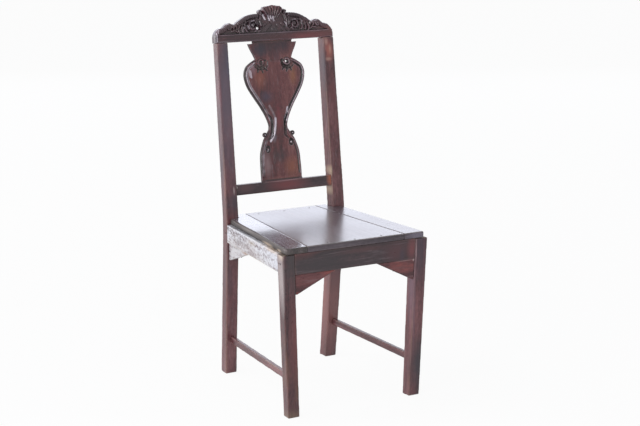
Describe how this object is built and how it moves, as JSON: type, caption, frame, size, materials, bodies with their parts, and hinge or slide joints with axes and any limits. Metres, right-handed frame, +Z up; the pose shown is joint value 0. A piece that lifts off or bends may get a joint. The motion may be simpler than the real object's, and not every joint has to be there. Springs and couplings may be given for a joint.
{
  "type": "dining chair",
  "caption": "Wooden side chair with a carved crest rail, a vase-shaped splat and a flat board seat, for sitting at a table.",
  "frame": {"origin": "middle of the chair's overall footprint, on the floor under the feet", "axes": "+Z up, +Y from the front of the seat to its back, +X to the right for someone who stands in front of the chair"},
  "size_m": [0.4346, 0.476, 1.0121],
  "materials": {
    "frame_wood": "dark red-brown stain, worn satin varnish",
    "carved_wood": "dark red-brown stain, glossy varnish",
    "seat_wood": "dark stain, high gloss varnish",
    "bracket_wood": "redder stain, satin",
    "peg_wood": "dark end grain",
    "nail_steel": "dulled steel"
  },
  "bodies": {
    "root": {"left_rear_post": "frame_wood", "right_rear_post": "frame_wood", "left_front_leg": "frame_wood", "right_front_leg": "frame_wood", "front_seat_rail": "frame_wood", "rear_seat_rail": "frame_wood", "left_seat_rail": "frame_wood", "right_seat_rail": "frame_wood", "left_stretcher": "frame_wood", "right_stretcher": "frame_wood", "lower_back_rail": "frame_wood", "back_splat": "carved_wood", "crest_rail": "carved_wood", "left_seat_board": "seat_wood", "seat_board_centre": "seat_wood", "right_seat_board": "seat_wood", "left_front_bracket": "bracket_wood", "right_front_bracket": "bracket_wood", "left_rear_bracket": "bracket_wood", "right_rear_bracket": "bracket_wood", "seat_rail_pegs": "peg_wood", "crest_pegs": "peg_wood", "seat_nails": "nail_steel", "bracket_nails": "nail_steel"}
  },
  "joints": []
}
